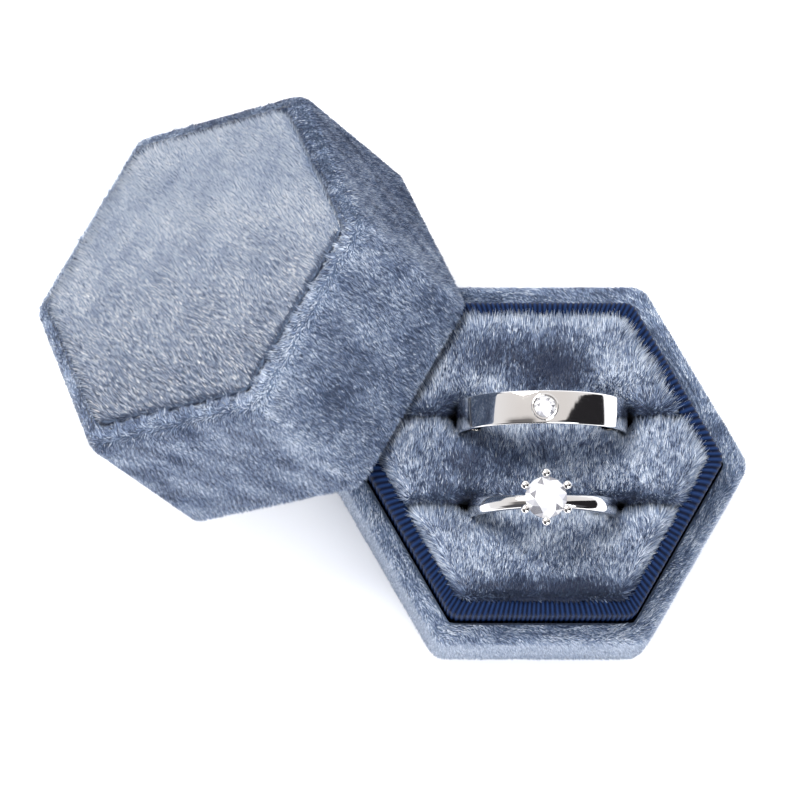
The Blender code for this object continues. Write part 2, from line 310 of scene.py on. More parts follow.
def scatter(corners, per_mm2, seed):
    """Evenly shared random places on triangles, with the triangles' normals."""
    draw = np.random.default_rng(seed)
    cross = np.cross(corners[:, 1] - corners[:, 0], corners[:, 2] - corners[:, 0])
    area = np.linalg.norm(cross, axis=1) / 2
    ends = np.cumsum(area)
    count = int(ends[-1] * per_mm2)
    pick = np.searchsorted(ends, (np.arange(count) + draw.random(count)) * ends[-1] / count)
    pick = np.minimum(pick, len(area) - 1)
    a, b = draw.random((2, count))
    flip = a + b > 1
    a, b = np.where(flip, 1 - a, a), np.where(flip, 1 - b, b)
    base = corners[pick, 0]
    place = base + (corners[pick, 1] - base) * a[:, None] + (corners[pick, 2] - base) * b[:, None]
    return place, cross[pick] / (2 * area[pick, None])


def unit(v):
    return v / np.maximum(np.linalg.norm(v, axis=-1, keepdims=True), 1e-9)


def pile(name, places, normals, lay, body, tone=0.0, length=1.2, lean=52.0, width=0.075, swirl=0.35,
         patch=5.0, seed=1, mottle=0.42, strand=0.95, fine=1.0, grain=1.1, looks=None):
    """Velvet fibres: each is a three-sided spike that leans from its normal towards the lay.

    lay holds one direction for each place.  swirl turns it in patches, and the shade of a fibre
    follows the same patches as a painted sheen, for the lighter and darker lie that brushing gives velvet."""
    draw = np.random.default_rng(seed)
    count = len(places)
    patches = ripple(places, patch, seed + 10) * 0.7 + ripple(places, patch * 0.35, seed + 20) * 0.5
    along = unit(lay - (lay * normals).sum(-1, keepdims=True) * normals)
    across = np.cross(normals, along)
    strands = np.stack([(places * across).sum(-1) * 2.6, (places * along).sum(-1),
                        (places * normals).sum(-1)], -1) * fine
    tufts = ripple(strands, 1.3, seed + 40, 16)
    turn = swirl * ripple(places, patch * 0.8, seed + 30) + 0.10 * tufts + draw.normal(0, 0.13, count)
    way = along * np.cos(turn)[:, None] + across * np.sin(turn)[:, None]
    tilt = np.radians(np.clip(lean + 6 * patches + draw.normal(0, 7, count), 5, 80))[:, None]
    stem = normals * np.cos(tilt) + way * np.sin(tilt)
    sink = 0.08         # how deep the roots stand in the ground
    reach = length * draw.uniform(0.75, 1.2, count)[:, None]
    side = unit(np.cross(stem, normals))
    back = np.cross(stem, side)
    spin = draw.uniform(0, 2 * pi, count)
    root = places - normals * sink
    points = []
    for k in range(3):
        turn_k = spin + k * 2 * pi / 3
        points.append(root + (side * np.cos(turn_k)[:, None] + back * np.sin(turn_k)[:, None]) * width)
    points.append(root + stem * reach)
    points = np.stack(points, 1)
    first = np.arange(count)[:, None] * 4
    faces = np.stack([first + [0, 1, 3], first + [1, 2, 3], first + [2, 0, 3]], 1).reshape(-1, 3)
    shade = 3.0 + mottle * patches + strand * tufts + grain * draw.normal(0, 1, count) + tone
    shade = np.clip(np.floor(shade), 0, 5).astype(int)
    return put_mesh(name, points, faces, looks or FIBRES, body, np.repeat(shade, 3))


def fibre_shades(name, cast):
    """Six painted shades of one blue velvet fibre, lit and shaded copies running from a deep blue for the
    shade among the roots to a pale blue-grey for lit tips with sheen.

    cast multiplies each shade's red, green and blue."""
    looks = []
    painted_shades = ((0.016, 0.028, 0.068), (0.062, 0.092, 0.170), (0.150, 0.200, 0.310),
            (0.290, 0.350, 0.460), (0.500, 0.548, 0.632), (0.785, 0.812, 0.855))
    for i, painted_tone in enumerate(painted_shades):
        look, tree, shader = new_look(name + "_" + str(i + 1))
        fill(tree, shader, {"Base Color": (*(np.array(painted_tone) * cast), 1.0), "Roughness": 0.38,
                            "Specular IOR Level": 0.5, "Sheen Weight": 0.12, "Sheen Roughness": 0.4,
                            "Sheen Tint": (0.75, 0.85, 1.0, 1.0)})
        looks.append(look)
    return looks


def mottle_group():
    """Shader group: two colours mixed by broad patches and fine flecks, with a height for bump."""
    group = bpy.data.node_groups.new("mottle", "ShaderNodeTree")
    for name, kind in (("Dark", "NodeSocketColor"), ("Light", "NodeSocketColor"),
                       ("Patch scale", "NodeSocketFloat"), ("Fleck scale", "NodeSocketFloat")):
        group.interface.new_socket(name, in_out="INPUT", socket_type=kind)
    group.interface.new_socket("Color", in_out="OUTPUT", socket_type="NodeSocketColor")
    group.interface.new_socket("Height", in_out="OUTPUT", socket_type="NodeSocketFloat")
    given = group.nodes.new("NodeGroupInput").outputs
    spot = add_node(group, "TexCoord", {}).outputs["Object"]
    patches = add_node(group, "TexNoise", {"Vector": spot, "Scale": given["Patch scale"], "Detail": 3.0})
    flecks = add_node(group, "TexNoise", {"Vector": spot, "Scale": given["Fleck scale"], "Detail": 2.0})
    centred = add_node(group, "Math", {0: patches.outputs["Fac"], 1: -0.5}, operation="ADD")
    total = add_node(group, "Math", {0: centred.outputs[0], 1: flecks.outputs["Fac"]}, operation="ADD")
    share = add_node(group, "MapRange", {"Value": total.outputs[0], "From Min": 0.25, "From Max": 0.75})
    mixed = add_node(group, "Mix", {"Factor": share.outputs[0], "A": given["Dark"], "B": given["Light"]},
                     data_type="RGBA")
    fill(group, group.nodes.new("NodeGroupOutput"),
         {"Color": mixed.outputs["Result"], "Height": flecks.outputs["Fac"]})
    return group


MOTTLE = mottle_group()


def mottled(name, dark, light, patch, fleck, roughness, bump=0.3, sheen=0.0):
    """A material whose colour and bump come from the mottle group."""
    look, tree, shader = new_look(name)
    group = add_node(tree, "Group", {"Dark": (*dark, 1.0), "Light": (*light, 1.0), "Patch scale": patch,
                                     "Fleck scale": fleck}, node_tree=MOTTLE)
    relief = add_node(tree, "Bump", {"Height": group.outputs["Height"], "Strength": bump,
                                     "Distance": 0.0002})
    fill(tree, shader, {"Base Color": group.outputs["Color"], "Normal": relief.outputs["Normal"],
                        "Roughness": roughness, "Sheen Weight": sheen})
    return look


def dress(look, *names):
    """Gives CAD nodes whose shape is right their own finish."""
    for name in names:
        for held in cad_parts[name].material_slots:
            held.material = look


FIBRES = fibre_shades("velvet_fibre", (0.955, 0.99, 1.035))
# The ground is the velvet's blue darkened as painted shade, for the shade among the fibres' roots.
GROUND = mottled("velvet_ground", (0.030, 0.050, 0.095), (0.080, 0.120, 0.190), 180.0, 2600.0, 0.85, 0.6,
                 sheen=0.3)
BOARD = mottled("moulded_board", (0.035, 0.042, 0.060), (0.060, 0.070, 0.095), 300.0, 4000.0, 0.7)
CARD = mottled("grey_card", (0.30, 0.31, 0.33), (0.42, 0.43, 0.45), 120.0, 5000.0, 0.8, 0.5)
dress(BOARD, "base_tray")
dress(CARD, "base_bottom_cover", "collar_card")

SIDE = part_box("base_velvet")[1].y / MM     # inradius of the velvet's outside, over the pile
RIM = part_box("base_velvet")[1].z / MM      # height of the tray's rim
RIBBON_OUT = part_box("collar_ribbon")[1].y / MM
STAND = 0.4                                # how far leaning pile stands off its ground
CORNER = 2.6                               # rounding of the tray's and lid's upright corners


def around(places):
    """The direction that runs counter-clockwise round the axis, level, at each place."""
    return unit(np.stack([-places[:, 1], places[:, 0], 0 * places[:, 0]], -1))


def outward(places):
    """The level direction out of the nearest hexagon side, at each place."""
    facing = (np.floor(np.arctan2(places[:, 1], places[:, 0]) / (pi / 3)) + 0.5) * pi / 3
    return np.stack([np.cos(facing), np.sin(facing), 0 * facing], -1)


def tray_velvet():
    """The skin is a closed section carried round the hexagon, and the fibres stand on its outer run."""
    out = SIDE - STAND
    top = RIM - STAND
    inner = RIBBON_OUT + 0.35
    hem = 19.5          # inradius that the hem reaches under the bottom
    cloth = 0.25        # thickness over the wall and rim
    folded = 0.45       # thickness of the hem
    section = rounded([(hem, 0.0), (out + 0.2, 0.0), (out, top), (inner, top), (inner, top - cloth),
                       (out - cloth, top - cloth), (out - cloth, folded), (hem, folded)],
                      [0, 0.5, 1.1, 0, 0, 0.9, 0, 0])
    section = split_long(section, 1.5, closed=True)
    grid = carried(section, 240, CORNER)
    skin = put_mesh("tray_velvet_ground", grid, grid_faces(*grid.shape[:2], True), [GROUND],
                    "base")
    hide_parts("base_velvet")

    rise = rounded([(out + 0.1, 0.35), (out, top), (inner + 0.2, top)], [0, 1.1, 0])
    corners = triangles(carried(split_long(rise, 0.8), 480, CORNER))
    middle = corners.mean(1)
    on_top = middle[:, 2] > top - 0.8
    half_round = np.arctan2(middle[:, 1], middle[:, 0]) > 0
    for name, part, per_mm2 in (("tray_rim_pile", on_top, 50.0),
                                ("tray_wall_pile_rear", ~on_top & half_round, 32.0),
                                ("tray_wall_pile_front", ~on_top & ~half_round, 32.0)):
        places, normals = scatter(corners[part], per_mm2, 5)
        if name == "tray_rim_pile":
            lay = around(places) + 0.3 * outward(places)
            # Painted light and shade: the rim's pile is lighter towards the front and darker towards the
            # rear.
            tone = -0.05 - 0.5 * np.clip(places[:, 1] / 22.0, -0.8, 1)
            pile(name, places, normals, lay, "base", tone=tone, length=0.62, lean=55.0,
                              width=0.066, seed=3, mottle=0.7, fine=1.5)
        else:
            lay = 0.5 * around(places) - np.array([0.0, 0.0, 0.9])
            # Painted light: the walls' pile is a tone lighter than the rim's.
            pile(name, places, normals, lay, "base", tone=0.6, length=0.62, lean=54.0,
                              width=0.08, seed=4, strand=0.35, mottle=0.25)


tray_velvet()


# ---------------------------------------------------------------- ribbon on the collar
# Navy ribbed ribbon, 24 mm wide, folded lengthways over the card collar and glued inside and
# out.  Its ribs run across it, and each is a round cord with the warp threads bound over it.

def ribbon_look():
    look, tree, shader = new_look("navy_ribbed_ribbon")
    spot = add_node(tree, "UVMap", {}, uv_map="ribbon").outputs["UV"]
    axes = add_node(tree, "SeparateXYZ", {0: spot})
    threads = add_node(tree, "TexWave", {"Vector": spot, "Scale": 2.6, "Distortion": 0.8, "Detail": 1.0},
                       bands_direction="Y").outputs
    crest = add_node(tree, "Math", {0: axes.outputs["X"], 1: 0.5}, operation="PINGPONG")
    share = add_node(tree, "MapRange", {"Value": crest.outputs[0], "From Max": 0.5})
    # Painted light and shade: each rib's crest is painted lighter as a highlight, and its grooves darker as
    # shade.
    painted_tone = ramp(tree, share.outputs[0], (0.15, (0.0030, 0.0065, 0.024)), (0.95, (0.012, 0.034, 0.112)))
    weave = add_node(tree, "Mix", {"Factor": 0.55, "A": painted_tone, "B": threads["Color"]},
                     data_type="RGBA", blend_type="MULTIPLY")
    relief = add_node(tree, "Bump", {"Height": threads["Fac"], "Strength": 0.5, "Distance": 0.00006})
    fill(tree, shader, {"Base Color": weave.outputs["Result"], "Normal": relief.outputs["Normal"],
                        "Roughness": 0.42, "Specular IOR Level": 0.06})
    return look


def ribbon():
    """Ribs rise along the section's normals by a power of a sine of the rib count.

    The count runs once per rib, a little faster on the rear and front sides, and wavers slightly."""
    ribs = 190
    per_rib = 7
    height = 0.17
    crowd = 2.4
    waver = 0.22
    base = 0.12         # how far the ribs' feet stand inside the ribbon's outside
    inside = 18.3       # inradius of the ribbon's inside
    tuck = 4.0          # how much higher the inside ends than the outside
    low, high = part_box("collar_ribbon")
    out, top = high.y / MM - base, high.z / MM - base
    inn = inside + base
    section = rounded([(out, low.z / MM), (out, top), (inn, top), (inn, low.z / MM + tuck)],
                      [0, 0.75, 0.75, 0], 6)
    section = split_long(section, 0.8)
    step = np.gradient(section, axis=0)
    facing = unit(np.stack([step[:, 1], -step[:, 0]], -1))
    s = np.arange(ribs * per_rib) / (ribs * per_rib)
    count = ribs * s + crowd * np.sin(4 * pi * (s - 1 / 3)) + waver * np.sin(2 * pi * 11 * s)
    wave = np.abs(np.sin(pi * count))
    rise = height * wave ** 0.7
    size = section[:, 0][:, None] + facing[:, 0][:, None] * rise
    level = section[:, 1][:, None] + facing[:, 1][:, None] * rise
    rounding = np.maximum(1.9 - (RIBBON_OUT - size), 0.9)
    plan = hexagon(size, rounding, s[None, :] + 0 * size)
    grid = np.concatenate([plan, level[..., None]], -1)
    rows, columns = grid.shape[:2]
    band = put_mesh("collar_ribbon_cloth", grid, grid_faces(rows, columns), [ribbon_look()],
                    "base")
    mapping = band.data.uv_layers.new(name="ribbon")
    along = np.tile(np.append(count, count[0] + ribs), (rows, 1))
    length = np.concatenate([[0], np.cumsum(np.linalg.norm(np.diff(section, axis=0), axis=1))])
    across = np.tile(length[:, None], (1, columns + 1))
    corner = np.stack([along, across], -1)
    r, c = np.arange(rows - 1)[:, None], np.arange(columns)[None, :]
    loops = np.stack([corner[r, c], corner[r, c + 1], corner[r + 1, c + 1], corner[r + 1, c]], 2)
    mapping.data.foreach_set("uv", loops.reshape(-1).astype(np.float32))
    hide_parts("collar_ribbon")


ribbon()


# ---------------------------------------------------------------- pads
# Three foam pads, each wrapped in velvet, stand side by side in the collar with a slot between
# each two.  The foam springs open round a ring's sides, and closes again beside it.

def polygon(facings, reaches, rounding, straights, bends):
    """A round-cornered polygon from its sides' facings and distances from the origin.

    Each side takes its number of points from straights, and each corner takes bends points."""
    facings = np.asarray(facings, float)
    reaches = np.asarray(reaches, float) - rounding
    normal = np.stack([np.cos(facings), np.sin(facings)], -1)
    after = np.roll(normal, -1, axis=0)
    reach_after = np.roll(reaches, -1)
    cross = normal[:, 0] * after[:, 1] - normal[:, 1] * after[:, 0]
    corner = np.stack([(reaches * after[:, 1] - reach_after * normal[:, 1]) / cross,
                       (reach_after * normal[:, 0] - reaches * after[:, 0]) / cross], -1)
    out = []
    for i, count in enumerate(straights):
        start = corner[i - 1] + rounding * normal[i]
        stop = corner[i] + rounding * normal[i]
        t = (np.arange(count) / count)[:, None]
        out.append(start + (stop - start) * t)
        gap = (facings[(i + 1) % len(facings)] - facings[i]) % (2 * pi)
        turn = facings[i] + gap * np.arange(bends) / bends
        out.append(corner[i] + rounding * np.stack([np.cos(turn), np.sin(turn)], -1))
    return np.concatenate(out)


def spread(points):
    """Moves pad points aside where a ring's two legs go down between the pads.

    Each slot opens over the ring's width beside its legs, and tapers shut further out."""
    x, y, z = points[..., 0], points[..., 1], points[..., 2]
    # Each slot's middle and opening, where its legs start and stop, and its tapers left and right.
    legs = ((5.2, 1.45, 8.2, 11.0, 2.4, 3.0), (-6.3, 0.75, 7.0, 10.0, 2.4, 4.4))
    for middle, opening, start, stop, taper_left, taper_right in legs:
        taper = np.where(x > 0, taper_right, taper_left)
        inside = np.clip((np.abs(x) - (start - 2.4)) / 2.4, 0, 1)
        outside = np.clip((stop + taper - np.abs(x)) / taper, 0, 1)
        inside = inside * inside * (3 - 2 * inside)
        outside = outside * outside * (3 - 2 * outside)
        aside = y - middle
        near = np.exp(-np.maximum(np.abs(aside) - 0.5, 0) / 1.7)
        shut = np.clip((PAD_TOP - 1.0 - z) / 1.6, 0, 1) * np.clip((np.abs(x) - stop - 0.3) / 0.8, 0, 1)
        move = opening * inside * outside * near * (1 - shut)
        y = y + np.sign(aside) * move
        z = z - 1.1 * move
    return np.stack([x, y, z], -1)


PAD_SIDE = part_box("pad_velvet_front")[0].y / -MM
PAD_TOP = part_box("pad_velvet_front")[1].z / MM
SLOTS = ((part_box("pad_velvet_rear")[0].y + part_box("pad_velvet_middle")[1].y) / 2 / MM,
         (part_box("pad_velvet_middle")[0].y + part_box("pad_velvet_front")[1].y) / 2 / MM)


def pad(name, facings, reaches, straights, spine, seed):
    """A pad's velvet: upright sides, a rolled edge, and a crown that swells towards its spine.

    spine holds the spine's two ends along X and its place along Y."""
    roll = 1.3
    crown = 0.45
    uneven = 0.14
    rounding = 0.55
    bends = 5
    top = PAD_TOP - 0.5
    rows = [(0.0, 19.5), (0.0, 21.5), (0.0, 23.5), (0.0, 25.5), (0.0, top - roll)]
    for step in np.linspace(0, pi / 2, 8)[1:]:
        rows.append((roll * (1 - cos(step)), top - roll + roll * sin(step)))
    loops = []
    for inset, level in rows:
        plan = polygon(facings, np.asarray(reaches) - inset, rounding, straights, bends)
        loops.append(np.concatenate([plan, np.full((len(plan), 1), level)], -1))
    edge = loops[-1]
    left, right, along_y = spine
    target = np.stack([np.clip(edge[:, 0], left, right), np.full(len(edge), along_y)], -1)
    for t in np.linspace(0, 1, 13)[1:]:
        plan = edge[:, :2] + (target - edge[:, :2]) * t
        swell = top + crown * (1 - (1 - t) ** 2)
        loops.append(np.concatenate([plan, np.full((len(plan), 1), swell)], -1))
    grid = np.array(loops)
    grid[..., 2] += uneven * ripple(grid.reshape(-1, 3), 5.0, seed).reshape(grid.shape[:2]) * (
        grid[..., 2] > top - 1.0)
    grid = spread(grid)
    skin = put_mesh("pad_velvet_ground_" + name, grid, grid_faces(*grid.shape[:2]), [GROUND],
                    "base", weld=True)
    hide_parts("pad_velvet_" + name)

    corners = triangles(grid[3:])
    places, normals = scatter(corners, 76.0, seed)
    x, y = places[:, 0], places[:, 1]
    facing = outward(places)
    reach = (places * facing).sum(-1)
    spill = np.clip((reach - STANDING + 1.5) / 1.5, 0, 1) * (0.62 + 0.38 * facing[:, 1]
                                                            + 0.25 * (facing.sum(-1) > 1.2))
    over = sum(np.clip(1 - np.abs(y - slot + SLOT_EDGE + 0.4) / 1.0, 0, 1) for slot in SLOTS)
    lay = np.array([0.06, 1.0, 0.0]) + 2.2 * facing * spill[:, None]
    # Marks of painted light and shade, and of brushing: the centre, the reach across and along, and the
    # change of tone.  Dark marks beside the rings' legs, on the rear side of each slot and along the front
    # edge are painted shade; pale ones on the front side of each slot, along the rear edge and on the
    # right are painted light; the others are brushing and painted shade both.
    marks = ((-6.8, 13.6, 3.8, 2.6, -2.6), (1.1, 11.4, 4.3, 3.4, -5.4), (-8.5, -1.2, 4.8, 2.8, -3.3),
             (1.4, 0.6, 4.4, 2.2, -1.3), (7.5, 0.8, 2.5, 1.5, -0.7), (0.0, -17.6, 14.0, 1.8, -4.8),
             (0.0, 6.3, 22.0, 1.1, -1.3), (0.0, -5.1, 22.0, 1.0, -1.3), (0.0, 3.9, 22.0, 0.8, 1.1),
             (0.0, -7.6, 22.0, 0.8, 1.1), (10.0, 11.0, 3.0, 4.0, 0.7), (13.0, 0.3, 3.5, 3.0, 0.4),
             (0.0, 16.8, 12.0, 0.9, 0.7), (-12.8, 5.7, 2.3, 1.8, -2.6), (13.4, 5.4, 3.2, 1.7, -2.4),
             (-11.0, -5.9, 2.4, 1.7, -2.2), (12.0, -5.9, 3.2, 1.6, -2.2), (-8.0, -12.0, 3.0, 2.5, 0.3))
    painted_light_shade_and_brushing = sum(depth * np.exp(-((x - mx) / wide) ** 2 - ((y - my) / deep) ** 2)
                  for mx, my, wide, deep, depth in marks)
    # Painted shade and light: the pile darkens where the pad rolls down and sinks into the hollows, and is
    # lighter where it spills over the outer edges.
    sunk = np.clip((top - places[:, 2]) / 1.2, 0, 1.6)
    pile("pad_pile_" + name, places, normals, lay, "base", tone=painted_light_shade_and_brushing - 0.06 - 0.45 * sunk + 1.5 * spill,
         length=0.92 + (1.4 * spill + 0.9 * over)[:, None], lean=46.0 + 17.0 * spill + 13.0 * over,
         width=0.060, swirl=0.20, patch=3.6, seed=seed, mottle=0.75, strand=1.1, fine=1.15, grain=1.35)


SLANT = radians(30)         # facing of the right rear side
STANDING = PAD_SIDE + 0.1   # how far the pads' outer sides stand from the axis
SLOT_EDGE = 0.6             # half the gap between two pads
pad("rear", (radians(90), radians(150), radians(270), SLANT),
    (STANDING, STANDING, -(SLOTS[0] + SLOT_EDGE), STANDING), (26, 16, 40, 16), (-8.5, 8.5, 11.6), 21)
pad("middle", (radians(90), radians(150), radians(210), radians(270), radians(330), SLANT),
    (SLOTS[0] - SLOT_EDGE, STANDING, STANDING, -(SLOTS[1] + SLOT_EDGE), STANDING, STANDING),
    (40, 8, 8, 40, 8, 8), (-14.5, 14.5, -0.5), 22)
pad("front", (radians(90), radians(210), radians(270), radians(330)),
    (SLOTS[1] - SLOT_EDGE, STANDING, STANDING, STANDING), (40, 16, 26, 16), (-8.5, 8.5, -11.9), 23)

# Painted shade: the foam is coloured near-black so that the slots between the pads read as shade.
PAINTED_SHADE_FOAM = mottled("foam_in_painted_shade", (0.012, 0.016, 0.028), (0.030, 0.038, 0.058), 900.0, 5000.0, 0.95, 0.8)
dress(PAINTED_SHADE_FOAM, "pad_foam_rear", "pad_foam_middle", "pad_foam_front")


# ---------------------------------------------------------------- band ring
# A wide band of polished white metal with a barely domed face, softened edges and a comfort-curved
# inside.  One small brilliant is set flush in a bezel cup at the top.

def metal_look():
    look, tree, shader = new_look("polished_white_metal")
    spot = add_node(tree, "TexCoord", {}).outputs["Object"]
    noise = add_node(tree, "TexNoise", {"Vector": spot, "Scale": 900.0, "Detail": 4.0}).outputs["Fac"]
    rough = add_node(tree, "MapRange", {"Value": noise, "To Min": 0.035, "To Max": 0.085})
    relief = add_node(tree, "Bump", {"Height": noise, "Strength": 0.06, "Distance": 0.00004})
    fill(tree, shader, {"Base Color": (0.80, 0.79, 0.78, 1.0), "Metallic": 1.0,
                        "Roughness": rough.outputs[0], "Normal": relief.outputs["Normal"]})
    return look


def stone_look():
    look, tree, shader = new_look("clear_stone")
    # The base colour is read from each facet's painted reflection, a bright, middling or dim white.
    painted_reflection = add_node(tree, "Attribute", {}, attribute_name="painted_reflection")
    fill(tree, shader, {"Base Color": painted_reflection.outputs["Color"], "Roughness": 0.0, "IOR": 2.4,
                        "Transmission Weight": 0.45})
    return look


METAL = metal_look()
CLEAR = stone_look()


def hoop(name, centre, section, segments, node, body):
    """Carries a closed section of (radius, y) round a ring that stands in the XZ plane.

    section gives the points as arrays for an array of turns, which are pi / 2 at the top."""
    turn = (np.arange(segments) / segments * 2 * pi)[:, None]
    radius, across = section(turn)
    grid = np.stack([centre[0] + radius * np.cos(turn), centre[1] + across + 0 * turn,
                     centre[2] + radius * np.sin(turn)], -1).transpose(1, 0, 2)
    piece = put_mesh(name, grid, grid_faces(*grid.shape[:2], True), [METAL], body)
    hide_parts(node)


def brilliant(name, centre, radius, node, body, turn=0.0):
    """A round brilliant: an eight-sided table, star, kite and girdle facets, and a pavilion."""
    eight = np.arange(8) * pi / 4 + turn
    sixteen = np.arange(16) * pi / 8 + turn
    between = eight + pi / 8

    def ring_of(angles, r, z):
        return np.stack([r * np.cos(angles), r * np.sin(angles), z + 0 * angles], -1)

    points = np.concatenate([ring_of(eight, 0.56, 0.33), ring_of(between, 0.78, 0.205),
                             ring_of(sixteen, 1.0, 0.035), ring_of(sixteen, 1.0, -0.035),
                             ring_of(between, 0.26, -0.66), [[0, 0, -0.86]], [[0, 0, 0.33]]])
    i = np.arange(8)
    j = (i + 1) % 8
    h = (i - 1) % 8
    table, star, top, low, mid = 0, 8, 16, 32, 48
    culet, flat = 56, 57
    even, odd, nxt = 2 * i, 2 * i + 1, (2 * i + 2) % 16
    faces = [np.stack(f, -1) for f in (
        (flat + 0 * i, table + i, table + j), (table + i, star + i, table + j),
        (table + i, star + h, top + even), (table + i, top + even, star + i),
        (star + i, top + even, top + odd), (star + i, top + odd, top + nxt),
        (mid + i, low + odd, low + even), (mid + i, low + nxt, low + odd),
        (culet + 0 * i, mid + i, low + even), (culet + 0 * i, low + even, mid + h))]
    k = np.arange(16)
    m = (k + 1) % 16
    faces += [np.stack((top + k, low + k, low + m), -1), np.stack((top + k, low + m, top + m), -1)]
    faces = np.concatenate(faces)
    corner = points[faces]
    facing = (np.cross(corner[:, 1] - corner[:, 0], corner[:, 2] - corner[:, 0])
              * (corner.mean(1) - [0, 0, -0.1])).sum(-1)
    faces = np.where(facing[:, None] < 0, faces[:, ::-1], faces)
    gem = put_mesh(name, points * radius + np.array(centre), faces, [CLEAR], body,
                   smooth=False)
    # Painted reflections: each facet gets a bright, middling or dim white for the stone's inner
    # reflections, and the table's faces are brightest.
    painted_glint = np.random.default_rng(int(radius * 100)).choice([0.25, 0.55, 0.85, 1.0, 1.0], len(faces))
    painted_glint[:8] = 1.0
    tint = np.stack([painted_glint, painted_glint, np.minimum(painted_glint * 1.04 + 0.02, 1.0), np.ones(len(faces))], -1)
    painted_reflection = gem.data.attributes.new("painted_reflection", "FLOAT_COLOR", "CORNER")
    painted_reflection.data.foreach_set("color", np.repeat(tint, 3, axis=0).astype(np.float32).ravel())
    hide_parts(node)


def turned(name, centre, section, body, columns=64):
    """Turns a closed section of (radius, height) about a vertical axis through centre."""
    section = np.asarray(section, float)
    turn = np.arange(columns) / columns * 2 * pi
    grid = np.stack([centre[0] + section[:, 0][:, None] * np.cos(turn),
                     centre[1] + section[:, 0][:, None] * np.sin(turn),
                     centre[2] + section[:, 1][:, None] + 0 * turn], -1)
    return put_mesh(name, grid, grid_faces(*grid.shape[:2], True), [METAL], body)


def band_ring():
    """The shank's face falls off as a square, its edges are quarter circles, and its inside
    curves away as a fourth power."""
    low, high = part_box("band_ring_shank")
    outer = (high.x - low.x) / 2 / MM
    inner = 9.5
    half = (high.y - low.y) / 2 / MM
    centre = ((high.x + low.x) / 2 / MM, (high.y + low.y) / 2 / MM, low.z / MM + outer)
    edge = 0.28         # rounding of the face's edges
    dome = 0.06
    comfort = 0.16      # how far the inside curves away at its edges

    def section(turn):
        face = np.linspace(-1, 1, 13)
        bend = np.linspace(0, pi / 2, 6)[1:-1]
        y = np.concatenate([face * (half - edge), half - edge + edge * np.sin(bend),
                            face[::-1] * (half - 0.45),
                            -half + edge - edge * np.sin(bend[::-1])])
        r = np.concatenate([outer - dome * face ** 2,
                            outer - dome - edge + edge * np.cos(bend),
                            inner + comfort * face[::-1] ** 4,
                            outer - dome - edge + edge * np.cos(bend[::-1])])
        return r + 0 * turn, y + 0 * turn

    hoop("band_shank", centre, section, 320, "band_ring_shank", "band_ring")
    seat = (centre[0], centre[1], centre[2] + outer)
    cup = turned("band_bezel", seat, [(0.3, -1.2), (1.45, -1.2), (1.72, -0.6), (1.76, 0.02), (1.70, 0.13),
                                      (1.58, 0.17), (1.44, 0.13), (1.36, 0.02), (1.30, -0.15),
                                      (0.3, -1.0)], "band_ring")
    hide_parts("band_ring_bezel")
    stone_low, stone_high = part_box("band_ring_stone")
    brilliant("band_brilliant", seat, (stone_high.x - stone_low.x) / 2 / MM, "band_ring_stone",
              "band_ring", 0.2)


band_ring()


# ---------------------------------------------------------------- solitaire ring
# A slim knife-edged shank that narrows towards the head, and a six-claw head on a collet and a rail.
# The claws are soldered to both, and end in round beads over the stone's girdle.

def claw(name, centre, turn, foot, top):
    """A claw: circles of changing radius along a route that splays out and then stands up."""
    wire = 0.31
    ball_radius = 0.56
    t = np.concatenate([np.linspace(0, 0.8, 12)[:-1], 0.8 + 0.1 * (1 - np.cos(np.linspace(0, pi, 14)))])
    out = 0.95 + 2.1 * np.clip(t / 0.82, 0, 1) ** 1.15
    level = foot + (top - foot) * t
    bead = np.clip((t - 0.80) / 0.20, 0, 1)
    ball = np.sqrt(np.maximum(1 - (2 * bead - 1) ** 2, 0))
    radius = np.where(t < 0.80, wire, np.maximum(ball_radius * ball, wire * (bead < 0.3)))
    spin = np.arange(16) / 16 * 2 * pi
    ring_out = out[:, None] + radius[:, None] * np.cos(spin)
    ring_side = radius[:, None] * np.sin(spin)
    grid = np.stack([centre[0] + ring_out * cos(turn) - ring_side * sin(turn),
                     centre[1] + ring_out * sin(turn) + ring_side * cos(turn),
                     level[:, None] + 0 * spin], -1)
    put_mesh(name, grid, grid_faces(*grid.shape[:2]), [METAL], "solitaire_ring", weld=True)


